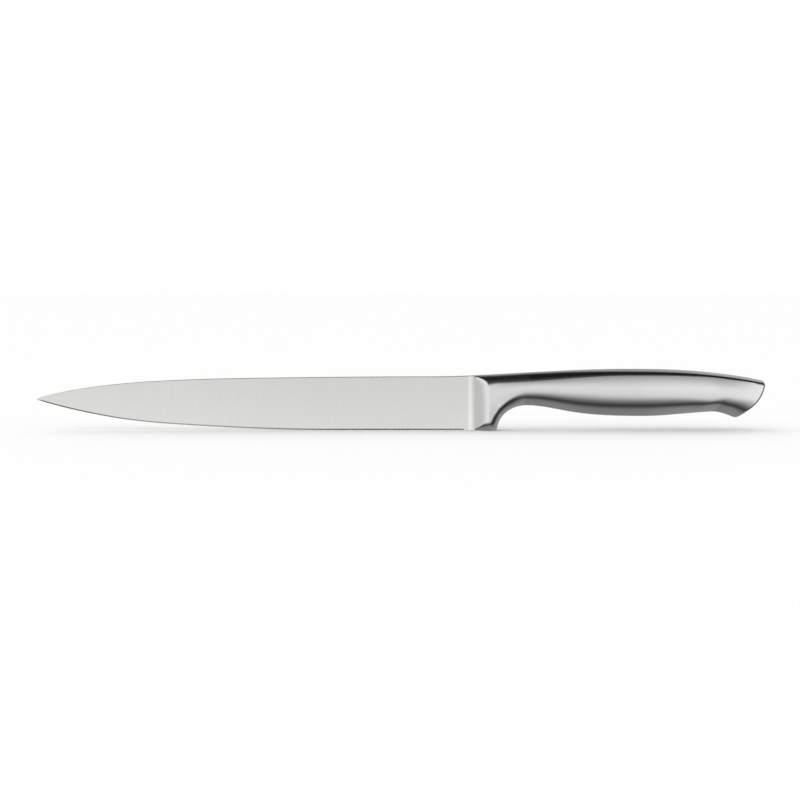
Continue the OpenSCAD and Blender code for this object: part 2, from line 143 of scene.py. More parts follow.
class HandleSettings(bpy.types.PropertyGroup):
    """Sizes of the hollow handle"""

    back: size_prop("Back", "Height of the back at the scoop", 0.0239)
    crest: size_prop("Crest", "Height of the back at its crest", 0.02665)
    crest_at: size_prop("Crest Place", "From the neck to the crest", 0.0446)
    corner: size_prop("Butt Corner", "Height of the upper corner of the butt", 0.0216)
    belly: size_prop("Belly", "Height of the underside at the belly", 0.0062)
    belly_at: size_prop("Belly Place", "From the neck to the belly", 0.0505)
    waist: size_prop("Waist", "Height of the underside at the waist", 0.00815)
    waist_back: size_prop("Waist Place", "From the butt to the waist", 0.0225)
    hook: size_prop("Hook", "Height of the point of the hook", 0.00535)
    hook_back: size_prop("Hook Place", "From the butt to the point of the hook", 0.0119)
    butt_bow: size_prop("Butt Bow", "How far the end face bows out from a straight cut", 0.0024)
    butt_skew: share_prop("Butt Skew", "How much more the end face bends in its upper half", 0.35)
    neck_width: size_prop("Neck Width", "Width at the neck", 0.0124)
    belly_width: size_prop("Belly Width", "Width at the belly", 0.0156)
    waist_width: size_prop("Waist Width", "Width at the waist", 0.0156)
    butt_width: size_prop("Butt Width", "Width at the butt", 0.016)
    root_round: size_prop("Root Rounding", "Radius of the rounded back at the scoop", 0.0052)
    back_round: size_prop("Back Rounding", "Radius of the rounded back at the bolster", 0.00375)
    crest_round: size_prop("Crest Rounding", "Radius of the rounded back at its crest", 0.0025)
    corner_round: size_prop("Corner Rounding", "Radius of the rounded back at the butt", 0.0015)
    neck_round: size_prop("Neck Rounding", "Radius of the underside at the neck", 0.0063)
    belly_round: size_prop("Belly Rounding", "Radius of the underside at the belly", 0.0092)
    waist_round: size_prop("Waist Rounding", "Radius of the underside at the waist", 0.0069)
    hook_round: size_prop("Hook Rounding", "Radius of the underside at the hook", 0.0088)
    butt_round: size_prop("Butt Rounding", "Radius of the underside at the butt", 0.0115)
    root_crown: share_prop(
        "Bolster Crown", "Share of its width that the bolster's flank loses at its ends", 0.08
    )
    neck_crown: share_prop(
        "Neck Crown", "Share of its width that the flank loses at the neck", 0.16
    )
    belly_crown: share_prop(
        "Belly Crown", "Share of its width that the flank loses at the belly", 0.115
    )
    waist_crown: share_prop(
        "Waist Crown", "Share of its width that the flank loses at the waist", 0.105
    )
    butt_crown: share_prop(
        "Butt Crown", "Share of its width that the flank loses at the butt", 0.05
    )
    wall: size_prop("Wall", "Wall of the shells", 0.001)
    fit: size_prop("Clearance", "Clearance between the pieces that seat in each other", 0.00005)
    cap: size_prop("Cap", "Thickness of the butt cap at its corner", 0.0032)
    lip: size_prop("Lip", "Length of the cap's lip", 0.004)
    rim: size_prop("Rim", "Radius of the edge round the butt at its upper corner", 0.00075)
    hook_rim: size_prop("Hook Rim", "Radius of the edge round the butt at the hook", 0.0024)
    bead: size_prop("Bead Width", "Half the width of a weld bead", 0.0006)
    bead_depth: size_prop("Bead Depth", "Depth of a weld bead", 0.0005)
    side_steps: IntProperty(
        name="Side Steps",
        description="Faces from the back to the underside of one flank",
        default=56,
        min=16,
    )
    pitch: size_prop("Section Pitch", "Distance between the sections of the handle", 0.0011)


class FinishSettings(bpy.types.PropertyGroup):
    """Finishes of the steel, and the painted shade on the blade"""

    steel: colour_prop("Steel", "Colour of the bare steel", (0.70, 0.70, 0.70))
    blade_steel: colour_prop(
        "Blade Steel", "Colour of the ground blade near its edge", (0.885, 0.882, 0.866)
    )
    # Painted shade: share of the blade's colour left at its spine, darker than at its edge
    painted_spine_shade: share_prop(
        "Blade Top", "Brightness of the blade's colour at its spine against its edge", 0.9
    )
    blade_roughness: share_prop("Blade Roughness", "Roughness of the ground blade", 0.28)
    handle_roughness: share_prop("Handle Roughness", "Roughness of the polished handle", 0.11)
    grain: size_prop("Grain Pitch", "Distance between the finest grinding lines", 0.00022)
    sand: colour_prop("Ballast", "Colour of the packed sand", (0.42, 0.35, 0.24))


class StageSettings(bpy.types.PropertyGroup):
    """Camera, floor and light"""

    view_width: size_prop("View Width", "Width of the view at the knife", 0.3472)
    view_height: size_prop("View Level", "Height that the camera aims at", 0.01313)
    elevation: angle_prop("Elevation", "Angle of the camera above the floor", math.radians(4))
    lens: FloatProperty(name="Lens", description="Focal length in millimetres", default=100.0)
    floor: size_prop("Floor", "Half the side of the floor", 3.0)
    sky: FloatProperty(
        name="Sky",
        description="Brightness of the even light on matt things",
        default=1.04,
    )


def settings():
    """The scene's settings for the knife"""
    return bpy.context.scene.carving_knife


class KnifeSettings(bpy.types.PropertyGroup):
    """All sizes and finishes of the knife"""

    blade: PointerProperty(type=BladeSettings)
    bolster: PointerProperty(type=BolsterSettings)
    handle: PointerProperty(type=HandleSettings)
    finish: PointerProperty(type=FinishSettings)
    stage: PointerProperty(type=StageSettings)


def knot_at(knots, x):
    """Smooth curve through knots of place, height and slope"""
    i = 0
    while i < len(knots) - 2 and x > knots[i + 1][0]:
        i += 1
    (x0, y0, slope0), (x1, y1, slope1) = knots[i], knots[i + 1]
    run = x1 - x0
    t = min(1, max(0, (x - x0) / run))
    near = t * t * (3 - 2 * t)
    return y0 * (1 - near) + y1 * near + run * t * (1 - t) * (slope0 * (1 - t) - slope1 * t)


def dome(depth):
    """Rounding of an edge: 0 on the outline, 1 from one radius inward"""
    if depth <= 0:
        return 0
    return 1 if depth >= 1 else math.sqrt(1 - (1 - depth) ** 2)


class Form:
    """Outline and skin of the knife, as functions of the distance from the tip"""

    # Unit curves of the blade: place, height and slope
    EDGE_SWEEP = (
        (0, 1, -2.9),
        (0.1, 0.735, -2.3),
        (0.25, 0.435, -1.7),
        (0.5, 0.178, -0.6),
        (1, 0, 0),
    )
    SPINE_FALL = (
        (0, 1, -7.5),
        (0.04, 0.792, -4.0),
        (0.15, 0.45, -2.35),
        (0.3, 0.207, -1.0),
        (0.5, 0.081, -0.3),
        (1, 0, 0),
    )
    CROWN_OF_SPINE = 0.00003

    # The back between the scoop and the crest, and between the crest and the butt
    NECK_RUN = 0.015
    NECK_CLIMB = 0.72
    WAIST_FALL = 0.305

    # The underside between the finger recess and the belly
    GRIP_RUN = 0.38
    GRIP_LEFT = 0.41

    # Where the roundings of the back and of the underside reach their full size
    ROOT_BLEND = 0.01
    GRIP_BLEND = 0.55

    # How the ribs lean more and more towards the butt
    LEAN_POWER = 1.4

    def __init__(self):
        knife = settings()
        self.b, self.g, self.h = knife.blade, knife.bolster, knife.handle
        b, g, h = self.b, self.g, self.h
        self.plunge = b.length
        self.guard = self.plunge + g.guard
        self.neck = self.guard + g.finger
        self.cap = END - h.cap
        self.belly = self.neck + h.belly_at
        self.hook = END - h.hook_back
        waist = END - h.waist_back
        grip = self.neck + h.belly_at * self.GRIP_RUN
        self.spine_z = b.edge_lift + b.height
        self.tip_z = self.spine_z - b.tip_drop - b.tip_flat
        self.lean = (b.spine - b.edge) / 2 / b.height
        thinned = (self.spine_z - self.tip_z) * self.lean
        self.taper = (b.spine / 2 - thinned - b.tip / 2) / self.plunge
        self.ramp_start = g.scoop * math.sin(g.ramp)
        self.back_knots = (
            (b.spine_fall, self.spine_z, 0.005),
            (ROOT, h.back, 0.05),
            (self.neck + self.NECK_RUN, h.back + (h.crest - h.back) * self.NECK_CLIMB, 0.05),
            (self.neck + h.crest_at, h.crest, 0),
            (waist, h.crest - (h.crest - h.corner) * self.WAIST_FALL, -0.11),
            (END, h.corner, -0.22),
        )
        self.under_knots = (
            (self.neck, g.rise, 0),
            (grip, h.belly + (g.rise - h.belly) * self.GRIP_LEFT, -0.165),
            (self.belly, h.belly, 0),
            (waist, h.waist, 0.05),
            (self.hook, h.hook, -0.42),
        )
        self.width_knots = (
            (self.plunge, g.width / 2, 0),
            (self.guard, g.width / 2, 0),
            (SEAM, h.neck_width / 2, 0),
            (self.belly, h.belly_width / 2, 0),
            (waist, h.waist_width / 2, 0),
            (END, h.butt_width / 2, 0),
        )
        self.crowns = (
            (ROOT, h.root_crown, 0),
            (self.neck, h.neck_crown, 0),
            (self.belly, h.belly_crown, 0),
            (waist, h.waist_crown, 0),
            (END, h.butt_crown, 0),
        )
        self.top_rounds = (
            (ROOT, h.root_round, 0),
            (ROOT + self.ROOT_BLEND, h.back_round, 0),
            (self.neck, h.back_round, 0),
            (self.neck + h.crest_at, h.crest_round, 0),
            (END, h.corner_round, 0),
        )
        self.low_rounds = (
            (self.guard, g.rounding, 0),
            (self.neck, h.neck_round, 0),
            (self.neck + h.belly_at * self.GRIP_BLEND, h.belly_round, 0),
            (self.belly, h.belly_round, 0),
            (waist, h.waist_round, -0.1),
            (self.hook, h.hook_round, 0),
            (END, h.butt_round, 0),
        )

    def in_root(self, x):
        """0 at the front of the scoop, 1 at the seam with the bolster"""
        return min(1, max(0, (x - self.plunge) / (ROOT - self.plunge)))

    def over_z(self, x):
        """Height of the spine and of the back"""
        b = self.b
        if x <= b.spine_fall:
            return self.spine_z - b.tip_drop * knot_at(self.SPINE_FALL, x / b.spine_fall)
        return knot_at(self.back_knots, x)

    def under_z(self, x):
        """Height of the edge, the guard, the finger recess and the grip"""
        b, g = self.b, self.g
        if x <= self.plunge:
            return b.edge_lift + (self.tip_z - b.edge_lift) * knot_at(self.EDGE_SWEEP, x / b.belly)
        if x <= self.guard:
            into = max(0, x - self.guard + g.soft)
            turned = g.soft - math.sqrt(max(0, g.soft**2 - into**2))
            return b.edge_lift * (1 - self.in_root(x)) + turned
        if x < self.neck:
            return max(g.soft, g.rise * math.sqrt(1 - ((self.neck - x) / g.finger) ** 2))
        return knot_at(self.under_knots, x)

    def blade_y(self, x, z):
        """Half thickness of the blade, whose face is a plane"""
        return self.b.spine / 2 + (z - self.spine_z) * self.lean + (x - self.plunge) * self.taper

    def scoop_y(self, u):
        """Rise of the scoop above the blade's plane"""
        g = self.g
        if u <= 0:
            return 0
        if u < self.ramp_start:
            return g.scoop - math.sqrt(g.scoop**2 - u * u)
        return g.scoop * (1 - math.cos(g.ramp)) + (u - self.ramp_start) * math.tan(g.ramp)

    def face_y(self, x, z):
        """Half thickness of the blade with its scoop"""
        return self.blade_y(x, z) + self.scoop_y(x - self.plunge)

    def rib(self, x):
        """Upper end, lower end and bow of the rib at x"""
        lean = max(0, (x - self.belly) / (END - self.belly)) ** self.LEAN_POWER
        foot = x - self.h.hook_back * lean
        bow = self.h.butt_bow * lean
        return Vector((x, self.over_z(x))), Vector((foot, self.under_z(foot))), bow

    def rib_len(self, rib):
        """Length of a rib"""
        chord = (rib[1] - rib[0]).length
        return chord * (1 + 8 / 3 * (rib[2] / chord) ** 2)

    def rib_pt(self, rib, share):
        """Point of a rib at a share of its length from the back"""
        top, foot, bow = rib
        down = (foot - top).normalized()
        skew = 1 + self.h.butt_skew * (1 - 2 * share)
        out = 4 * bow * share * (1 - share) * skew
        return top.lerp(foot, share) + Vector((-down.y, down.x)) * out

    def finger_gap(self, x, z):
        """Distance from the wall of the finger recess"""
        g = self.g
        px, pz = (x - self.neck) / g.finger, z / g.rise
        reach = max(TINY, math.hypot(px, pz))
        return (reach - 1) * reach / math.hypot(px / g.finger, pz / g.rise)

    def low_dome(self, x, z, depth, inset):
        """Rounding of the underside"""
        r = knot_at(self.low_rounds, x)
        if x < self.neck:
            floor = self.under_z(min(x, self.guard))
            return dome((z - floor) / self.g.rounding) * dome(self.finger_gap(x, z) / r)
        return dome(depth / (r - inset))

    def skin(self, x, depth, inset=0.0, narrow=None):
        """Point of the skin on the rib at x, at a depth along it from the inset outline

        narrow is how much half the width loses, where that differs from the outline's inset.
        """
        rib = self.rib(x)
        full = self.rib_len(rib)
        s = inset + depth
        p = self.rib_pt(rib, s / full)
        bulge = 1 - knot_at(self.crowns, x) * (2 * s / full - 1) ** 2
        half = knot_at(self.width_knots, x) * bulge - (inset if narrow is None else narrow)
        top = dome(depth / (knot_at(self.top_rounds, x) - inset))
        low = self.low_dome(x, p.y, full - inset - s, inset)
        return Vector((p.x, half * top * low, p.y))

    def run(self, x, inset=0.0):
        """Length of the rib at x between its inset ends"""
        return self.rib_len(self.rib(x)) - 2 * inset

    def bead_depth(self, x, rounding, inset=0.0):
        """Depth at which the skin is one bead wide"""
        half = knot_at(self.width_knots, x) * (1 - knot_at(self.crowns, x)) - inset
        return rounding * (1 - math.sqrt(1 - (self.h.bead / half) ** 2))


def mirror(p):
    """The point across the middle plane"""
    return Vector((p.x, -p.y, p.z))


def closed_ring(right):
    """A whole section from its +Y half, which starts and ends on the middle plane"""
    return list(right) + [mirror(p) for p in right[-2:0:-1]]


def shares(steps):
    """Shares from 0 to 1 that lie close together near both ends"""
    return [(1 - math.cos(math.pi * k / steps)) / 2 for k in range(steps + 1)]


def places(start, end, pitch):
    """Evenly spread places from start to end, about a pitch apart"""
    count = max(1, round((end - start) / pitch))
    return [start + (end - start) * k / count for k in range(count + 1)]


def skin_ring(form, x, inset=0.0):
    """Section of the handle's skin"""
    length = form.run(x, inset)
    steps = settings().handle.side_steps
    return closed_ring([form.skin(x, share * length, inset) for share in shares(steps)])


def box_ring(x, half, low, high, count):
    """Section of a straight bar, with as many points as the skin's sections"""
    steps = count // 2
    side = [Vector((x, half, high + (low - high) * k / (steps - 2))) for k in range(steps - 1)]
    return closed_ring([Vector((x, 0, high)), *side, Vector((x, 0, low))])


def tube_faces(count, size, loop=False):
    """Quads between count rings of size points"""
    faces = []
    for i in range(count if loop else count - 1):
        a, b = i * size, (i + 1) % count * size
        for k in range(size):
            m = (k + 1) % size
            faces.append((a + k, a + m, b + m, b + k))
    return faces


def end_faces(base, size):
    """Faces across a section, from each point to the one facing it"""
    faces = []
    for k in range(size // 2):
        quad = [base + k, base + (size - k) % size, base + size - k - 1, base + k + 1]
        faces.append(tuple(dict.fromkeys(quad)))
    return faces


def build(name, rings, loop=False):
    """Closed mesh through rings of points, moved into the knife's frame"""
    size = len(rings[0])
    faces = tube_faces(len(rings), size, loop)
    if not loop:
        faces += end_faces(0, size)
        faces += end_faces((len(rings) - 1) * size, size)
    mesh = bpy.data.meshes.new(name)
    points = [(p.x + TIP_X, p.y, p.z) for ring in rings for p in ring]
    mesh.from_pydata(points, [], faces)
    piece = bpy.data.objects.new(name, mesh)
    bpy.context.scene.collection.objects.link(piece)
    return piece


def dress(piece, material, slot, *nodes, smooth=SMOOTH):
    """Shades a piece, gives it its finish and lets it stand for its solids"""
    work = bmesh.new()
    work.from_mesh(piece.data)
    bmesh.ops.remove_doubles(work, verts=work.verts, dist=MERGE)
    bmesh.ops.recalc_face_normals(work, faces=work.faces)
    limit = math.radians(smooth)
    for edge in work.edges:
        edge.smooth = len(edge.link_faces) == 2 and edge.calc_face_angle(0) < limit
    for face in work.faces:
        face.smooth = True
    work.to_mesh(piece.data)
    work.free()
    piece.data.materials.append(material)
    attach(piece, "root")
    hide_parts(*nodes)
    return piece


# Finishes

# Stretch of a noise that is alike in every direction, and how rough every noise is
EVEN = (1, 1, 1)
NOISE_ROUGHNESS = 0.6

# The broad lines of a grind against its finest, and the soft clouds over both
BROAD_GRAIN = 0.12
CLOUD_SCALE = 28.0
CLOUD_DETAIL = 2.0
LINE_SHARE = 0.5
GRAIN_STRENGTH = 0.35

# Steel by kind: stretch of the lines, added roughness, its spread, tint and height of the lines
GRINDS = {
    "polished_bolster_steel": ((0.05, 1, 1), 0.04, 0.02, 0.05, 0.000001),
    "satin_handle_steel": ((0.02, 1, 1), 0.0, 0.02, 0.04, 0.000001),
    "ground_weld_steel": ((0.02, 1, 1), 0.0, 0.02, 0.05, 0.000001),
}
BLADE_GRIND = ((1, 1, 0.02), 0.02, 0.045, 0.000003)

SAND_SCALE = 1800.0
SAND_DETAIL = 4.0
SAND_SHADE = 0.6
SAND_HEIGHT = 0.0002
MATT = 0.9


def new_material(name):
    """An empty node material with its shader and output"""
    material = bpy.data.materials.new(name)
    material.use_nodes = True
    shader = material.node_tree.nodes["Principled BSDF"]
    return material, material.node_tree.nodes, material.node_tree.links, shader


def grain_noise(nodes, links, stretch, scale, detail=3.0):
    """Noise drawn out along one axis of the knife, like the lines of a belt or a wheel"""
    place = nodes.new("ShaderNodeTexCoord")
    mapping = nodes.new("ShaderNodeMapping")
    mapping.inputs["Scale"].default_value = stretch
    noise = nodes.new("ShaderNodeTexNoise")
    noise.inputs["Scale"].default_value = scale
    noise.inputs["Detail"].default_value = detail
    noise.inputs["Roughness"].default_value = NOISE_ROUGHNESS
    links.new(place.outputs["Object"], mapping.inputs["Vector"])
    links.new(mapping.outputs["Vector"], noise.inputs["Vector"])
    return noise.outputs["Fac"]


def remap(nodes, links, source, low, high, from_low=0.35, from_high=0.65):
    """Spreads a value over the range from low to high; most of a noise lies from 0.35 to 0.65"""
    node = nodes.new("ShaderNodeMapRange")
    node.inputs["From Min"].default_value = from_low
    node.inputs["From Max"].default_value = from_high
    node.inputs["To Min"].default_value = low
    node.inputs["To Max"].default_value = high
    links.new(source, node.inputs["Value"])
    return node.outputs["Result"]


def math_node(nodes, links, operation, *values):
    """A math node fed by numbers or sockets"""
    node = nodes.new("ShaderNodeMath")
    node.operation = operation
    for socket, value in zip(node.inputs, values):
        if isinstance(value, bpy.types.NodeSocket):
            links.new(value, socket)
        else:
            socket.default_value = value
    return node.outputs["Value"]


def mixed(nodes, links, kind, factor, a, b):
    """Colour mix of two colours or sockets"""
    node = nodes.new("ShaderNodeMix")
    node.data_type = "RGBA"
    node.blend_type = kind
    sockets = [s for s in node.inputs if s.enabled]
    for socket, value in zip(sockets, (factor, a, b)):
        if isinstance(value, bpy.types.NodeSocket):
            links.new(value, socket)
        else:
            socket.default_value = value
    return next(s for s in node.outputs if s.enabled)


def ramp_of(nodes, links, source, stops):
    """A colour ramp with stops of place, colour and cover"""
    node = nodes.new("ShaderNodeValToRGB")
    elements = node.color_ramp.elements
    for i, (place, colour, cover) in enumerate(stops):
        element = elements[i] if i < 2 else elements.new(1.0)
        element.position = place
        element.color = (*colour, cover)
    links.new(source, node.inputs["Fac"])
    return node


def bumped(nodes, links, shader, source, distance, strength=1.0):
    """Raises a shader's surface where the source is high"""
    bump = nodes.new("ShaderNodeBump")
    bump.inputs["Strength"].default_value = strength
    bump.inputs["Distance"].default_value = distance
    links.new(source, bump.inputs["Height"])
    links.new(bump.outputs["Normal"], shader.inputs["Normal"])


def steel(name, colour, roughness, along, spread, tint, height):
    """Bare steel with grinding lines along one axis.

    along is the stretch of the lines, spread how much the roughness varies, tint how much the
    colour does and height how deep the lines are.
    """
    finish = settings().finish
    material, nodes, links, shader = new_material(name)
    shader.inputs["Metallic"].default_value = 1.0
    fine = grain_noise(nodes, links, along, 1 / finish.grain)
    broad = grain_noise(nodes, links, along, BROAD_GRAIN / finish.grain)
    cloud = grain_noise(nodes, links, EVEN, CLOUD_SCALE, CLOUD_DETAIL)
    rough = remap(nodes, links, broad, roughness - spread, roughness + spread)
    links.new(rough, shader.inputs["Roughness"])
    lines = remap(nodes, links, broad, 0, 1)
    clouds = remap(nodes, links, cloud, 0, 1 - LINE_SHARE)
    tone = math_node(nodes, links, "MULTIPLY_ADD", lines, LINE_SHARE, clouds)
    dark = (*[c * (1 - tint) for c in colour], 1)
    shade = mixed(nodes, links, "MIX", tone, dark, (*colour, 1))
    links.new(shade, shader.inputs["Base Color"])
    bumped(nodes, links, shader, fine, height, GRAIN_STRENGTH)
    return material


def paint_blade_reflection_shade(material):
    """Paints shade and reflection into the blade's steel: darker towards its spine, paler towards
    its edge
    """
    nodes, links = material.node_tree.nodes, material.node_tree.links
    blade, finish = settings().blade, settings().finish
    base = nodes["Principled BSDF"].inputs["Base Color"]
    place = nodes.new("ShaderNodeTexCoord")
    split = nodes.new("ShaderNodeSeparateXYZ")
    links.new(place.outputs["Object"], split.inputs["Vector"])
    # Painted shade and reflection: full colour at the edge, falling towards the spine
    share = remap(nodes, links, split.outputs["Z"], 1, finish.painted_spine_shade, 0, blade.height)
    tone = nodes.new("ShaderNodeCombineColor")
    for socket in tone.inputs[:3]:
        links.new(share, socket)
    shaded = mixed(nodes, links, "MULTIPLY", 1.0, base.links[0].from_socket, tone.outputs["Color"])
    links.new(shaded, base)
    return material


def finish_of(kind):
    """Material of that kind, made once"""
    if kind in bpy.data.materials:
        return bpy.data.materials[kind]
    finish = settings().finish
    if kind == "packed_sand":
        return packed_sand(kind)
    if kind == "ground_blade_steel":
        ground = steel(kind, finish.blade_steel, finish.blade_roughness, *BLADE_GRIND)
        # The blade's colour gets painted shade, darker towards the spine
        return paint_blade_reflection_shade(ground)
    along, rougher, *lines = GRINDS[kind]
    return steel(kind, finish.steel, finish.handle_roughness + rougher, along, *lines)


def packed_sand(kind):
    """Dry sand, packed hard"""
    finish = settings().finish
    material, nodes, links, shader = new_material(kind)
    shader.inputs["Roughness"].default_value = MATT
    grains = grain_noise(nodes, links, EVEN, SAND_SCALE, SAND_DETAIL)
    tone = remap(nodes, links, grains, 0, 1)
    dark = (*[c * SAND_SHADE for c in finish.sand], 1)
    shade = mixed(nodes, links, "MIX", tone, dark, (*finish.sand, 1))
    links.new(shade, shader.inputs["Base Color"])
    bumped(nodes, links, shader, grains, SAND_HEIGHT)
    return material


# Blade

# Points of the blade's section
SPINE_SHARES = (0, 0.4, 0.75)
EASE_SHARES = (0, 0.25, 0.5, 0.75, 1)
FLAT_STEPS = 6
BEVEL_STEPS = 4

# Bevel of the unsharpened part, and the most that a bevel or an eased corner takes of the height
DULL_BEVEL = 0.00002
BEVEL_SHARE = 0.3
EASE_SHARE = 0.25

# Sections of the blade, close together at the tip and round the heel and the scoop
RUN_STEPS = 120
RUN_POWER = 1.5
HEEL_SHARES = (0.15, 0.5, 0.9)
HOLLOW_STEPS = 14
RAMP_PITCH = 0.0001

# Search for a depth of the skin, and how far behind the plunge the skin first exists
HALVINGS = 40
PAST_PLUNGE = 1e-5


def skin_depth(form, x, y, from_back):
    """Depth below the back, or above the underside, at which the skin is y wide"""
    length = form.run(x)
    low, high = 0.0, form.h.back_round if from_back else form.g.rounding
    for _ in range(HALVINGS):
        middle = (low + high) / 2
        wide = form.skin(x, middle if from_back else length - middle).y
        low, high = (middle, high) if wide < y else (low, middle)
    return (low + high) / 2


def round_depth(form, x, y, from_back):
    """Depth of the bolster's rounding at a half width y, for the blade and its root"""
    return skin_depth(form, max(x, form.plunge + PAST_PLUNGE), y, from_back)


def blade_ring(form, x, inset=0.0):
    """Section of the blade: crowned spine, eased corner, flat face, bevel"""
    b = form.b
    top, low = form.over_z(x), form.under_z(x)
    high = top - low
    root = form.in_root(x)
    soft = min(b.soft, high * EASE_SHARE) * (1 - root)
    y_top, y_low = form.face_y(x, top), form.face_y(x, low)
    sharpened = x <= form.plunge - b.heel
    bevel = min(b.bevel, high * BEVEL_SHARE) if sharpened else DULL_BEVEL
    ease = 1 - soft / y_top
    ratios = [s * ease for s in SPINE_SHARES] + [ease + (1 - ease) * s for s in EASE_SHARES]
    right = []
    for q in ratios:
        corner = 0 if soft == 0 else soft * max(0, (q - ease) / (1 - ease)) ** 2
        crown = form.CROWN_OF_SPINE * (1 - root) * q * q
        drop = crown + corner + round_depth(form, x, y_top * q, True)
        right.append(Vector((x, y_top * q, top - drop)))
    flat_top = right[-1].z
    flat_low = low + bevel + round_depth(form, x, y_low, False) * root
    for k in range(1, FLAT_STEPS + 1):
        z = flat_top + (flat_low - flat_top) * k / FLAT_STEPS
        right.append(Vector((x, form.face_y(x, z), z)))
    y_edge = right[-1].y
    for k in range(1, BEVEL_STEPS + 1):
        q = 1 - k / BEVEL_STEPS
        curve = round_depth(form, x, y_edge * q, False) * root
        right.append(Vector((x, y_edge * q, low + bevel * q + curve)))
    if inset:
        middle = (top + low) / 2
        for p in right:
            p.y *= 1 - inset / y_top
            p.z = middle + (p.z - middle) * (1 - 2 * inset / high)
    return closed_ring(right)


def blade_places(form):
    """Places of the blade's sections: close at the tip, the heel and the scoop"""
    bevel_end = form.plunge - form.b.heel
    run = [bevel_end * (k / RUN_STEPS) ** RUN_POWER for k in range(RUN_STEPS + 1)]
    heel = [bevel_end + form.b.heel * s for s in HEEL_SHARES]
    hollow = [form.plunge + form.ramp_start * k / HOLLOW_STEPS for k in range(HOLLOW_STEPS + 1)]
    ramp = places(form.plunge + form.ramp_start, ROOT - form.h.bead / 2, RAMP_PITCH)[1:]
    return run + heel + hollow + ramp


class KNIFE_OT_blade(bpy.types.Operator):
    """Builds the ground blade with its flared root and tang"""

    bl_idname = "carving_knife.blade"
    bl_label = "Blade"

    def execute(self, context):
        """Builds the piece"""
        form = Form()
        g, h = form.g, form.h
        rings = [blade_ring(form, x) for x in blade_places(form)]
        rings.append(blade_ring(form, ROOT, h.bead_depth))
        low, high = g.tang_level - g.tang_height / 2, g.tang_level + g.tang_height / 2
        count = len(rings[0])
        rings += [box_ring(x, g.tang / 2, low, high, count) for x in (ROOT, TANG_END)]
        piece = build("ground_blade", rings)
        finish = finish_of("ground_blade_steel")
        dress(piece, finish, "blade_steel", "blade", smooth=BLADE_SMOOTH)
        return {"FINISHED"}


# Bolster

# Sections of the guard and of the finger recess behind it
GUARD_STEPS = 80
ARC_STEPS = 44


def quarter(k, steps):
    """Angle after k of the steps of a quarter turn"""
    return math.pi / 2 * k / steps


def guard_places(form):
    """Places of the bolster's sections: close at the guard's rear and round the recess"""
    run = form.guard - ROOT
    front = [ROOT + run * math.sin(quarter(k, GUARD_STEPS)) for k in range(GUARD_STEPS + 1)]
    finger = form.g.finger
    arc = [form.neck - finger * math.cos(quarter(k, ARC_STEPS)) for k in range(1, ARC_STEPS + 1)]
    rear = SEAM - form.h.bead - form.neck
    return front + arc + [form.neck + rear * s for s in (0.5, 1)]


def soft_min(a, b, reach):
    """The smaller of two values, with a rounded change from one to the other"""
    near = max(0, reach - abs(a - b)) / reach
    return min(a, b) - near * near * reach / 4


def scooped_ring(form, x):
    """Section of the bolster's front, where the scoop cuts its skin with a softened crease"""
    length = form.run(x)
    right = [form.skin(x, share * length) for share in shares(settings().handle.side_steps)]
    for p in right:
        p.y = soft_min(p.y, form.face_y(x, p.z), form.g.crease)
    return closed_ring(right)


class KNIFE_OT_bolster(bpy.types.Operator):
    """Builds the bolster with its scoop, guard, finger recess and spigot"""

    bl_idname = "carving_knife.bolster"
    bl_label = "Bolster"

    def execute(self, context):
        """Builds the piece"""
        form = Form()
        g, h = form.g, form.h
        rings = [scooped_ring(form, x) for x in guard_places(form)]
        rings.append(skin_ring(form, SEAM, h.bead_depth))
        rings += [skin_ring(form, x, h.wall + h.fit) for x in (SEAM, SPIGOT)]
        low = g.tang_level - g.tang_height / 2 - h.fit
        high = g.tang_level + g.tang_height / 2 + h.fit
        count = len(rings[0])
        rings += [box_ring(x, g.tang / 2 + h.fit, low, high, count) for x in (SPIGOT, ROOT)]
        piece = build("scooped_bolster", rings, loop=True)
        dress(piece, finish_of("polished_bolster_steel"), "bolster_steel", "bolster")
        return {"FINISHED"}


# Handle

# Sections of the butt cap before its rim and round it, and how the rim grows towards the hook
CAP_STEPS = 6
RIM_STEPS = 8
RIM_POWER = 5


def shell_ring(form, x, inset):
    """Section of one shell: groove, outer skin, groove, inner skin"""
    h = form.h
    length, full = form.run(x, inset), form.run(x)
    top = form.bead_depth(x, knot_at(form.top_rounds, x), inset)
    low = length - form.bead_depth(x, knot_at(form.low_rounds, x), inset)
    depths = [top + (low - top) * s for s in shares(h.side_steps)]
    outer = [form.skin(x, d, inset) for d in depths]
    inner_run = form.run(x, h.wall)
    inner = [form.skin(x, s * inner_run, h.wall) for s in shares(h.side_steps)]
    rib = form.rib(x)
    ends = [form.rib_pt(rib, d / full) for d in (h.bead_depth, full - h.bead_depth)]
    seam_top, seam_low = [Vector((p.x, 0, p.y)) for p in ends]
    return [seam_top, *outer, seam_low, *inner[::-1]]


def shell_places(form):
    """Places of the sections between the beads at both ends of the shells"""
    h = form.h
    return places(SEAM + h.bead, form.cap - h.bead, h.pitch)


def make_shell(name, node, side):
    """One half of the hollow handle"""
    form = Form()
    rings = [shell_ring(form, SEAM, form.h.bead_depth)]
    rings += [shell_ring(form, x, 0.0) for x in shell_places(form)]
    rings.append(shell_ring(form, form.cap, form.h.bead_depth))
    if side < 0:
        rings = [[mirror(p) for p in ring] for ring in rings]
    dress(build(name, rings), finish_of("satin_handle_steel"), "handle_steel", node)


class KNIFE_OT_shells(bpy.types.Operator):
    """Builds the two pressed shells of the handle"""

    bl_idname = "carving_knife.shells"
    bl_label = "Handle Shells"

    def execute(self, context):
        """Builds the pieces"""
        make_shell("shell_right", "handle_shell_right", 1)
        make_shell("shell_left", "handle_shell_left", -1)
        return {"FINISHED"}


def rim_radius(form, share):
    """Radius of the edge round the butt, which grows towards the hook"""
    return form.h.rim + (form.h.hook_rim - form.h.rim) * share**RIM_POWER


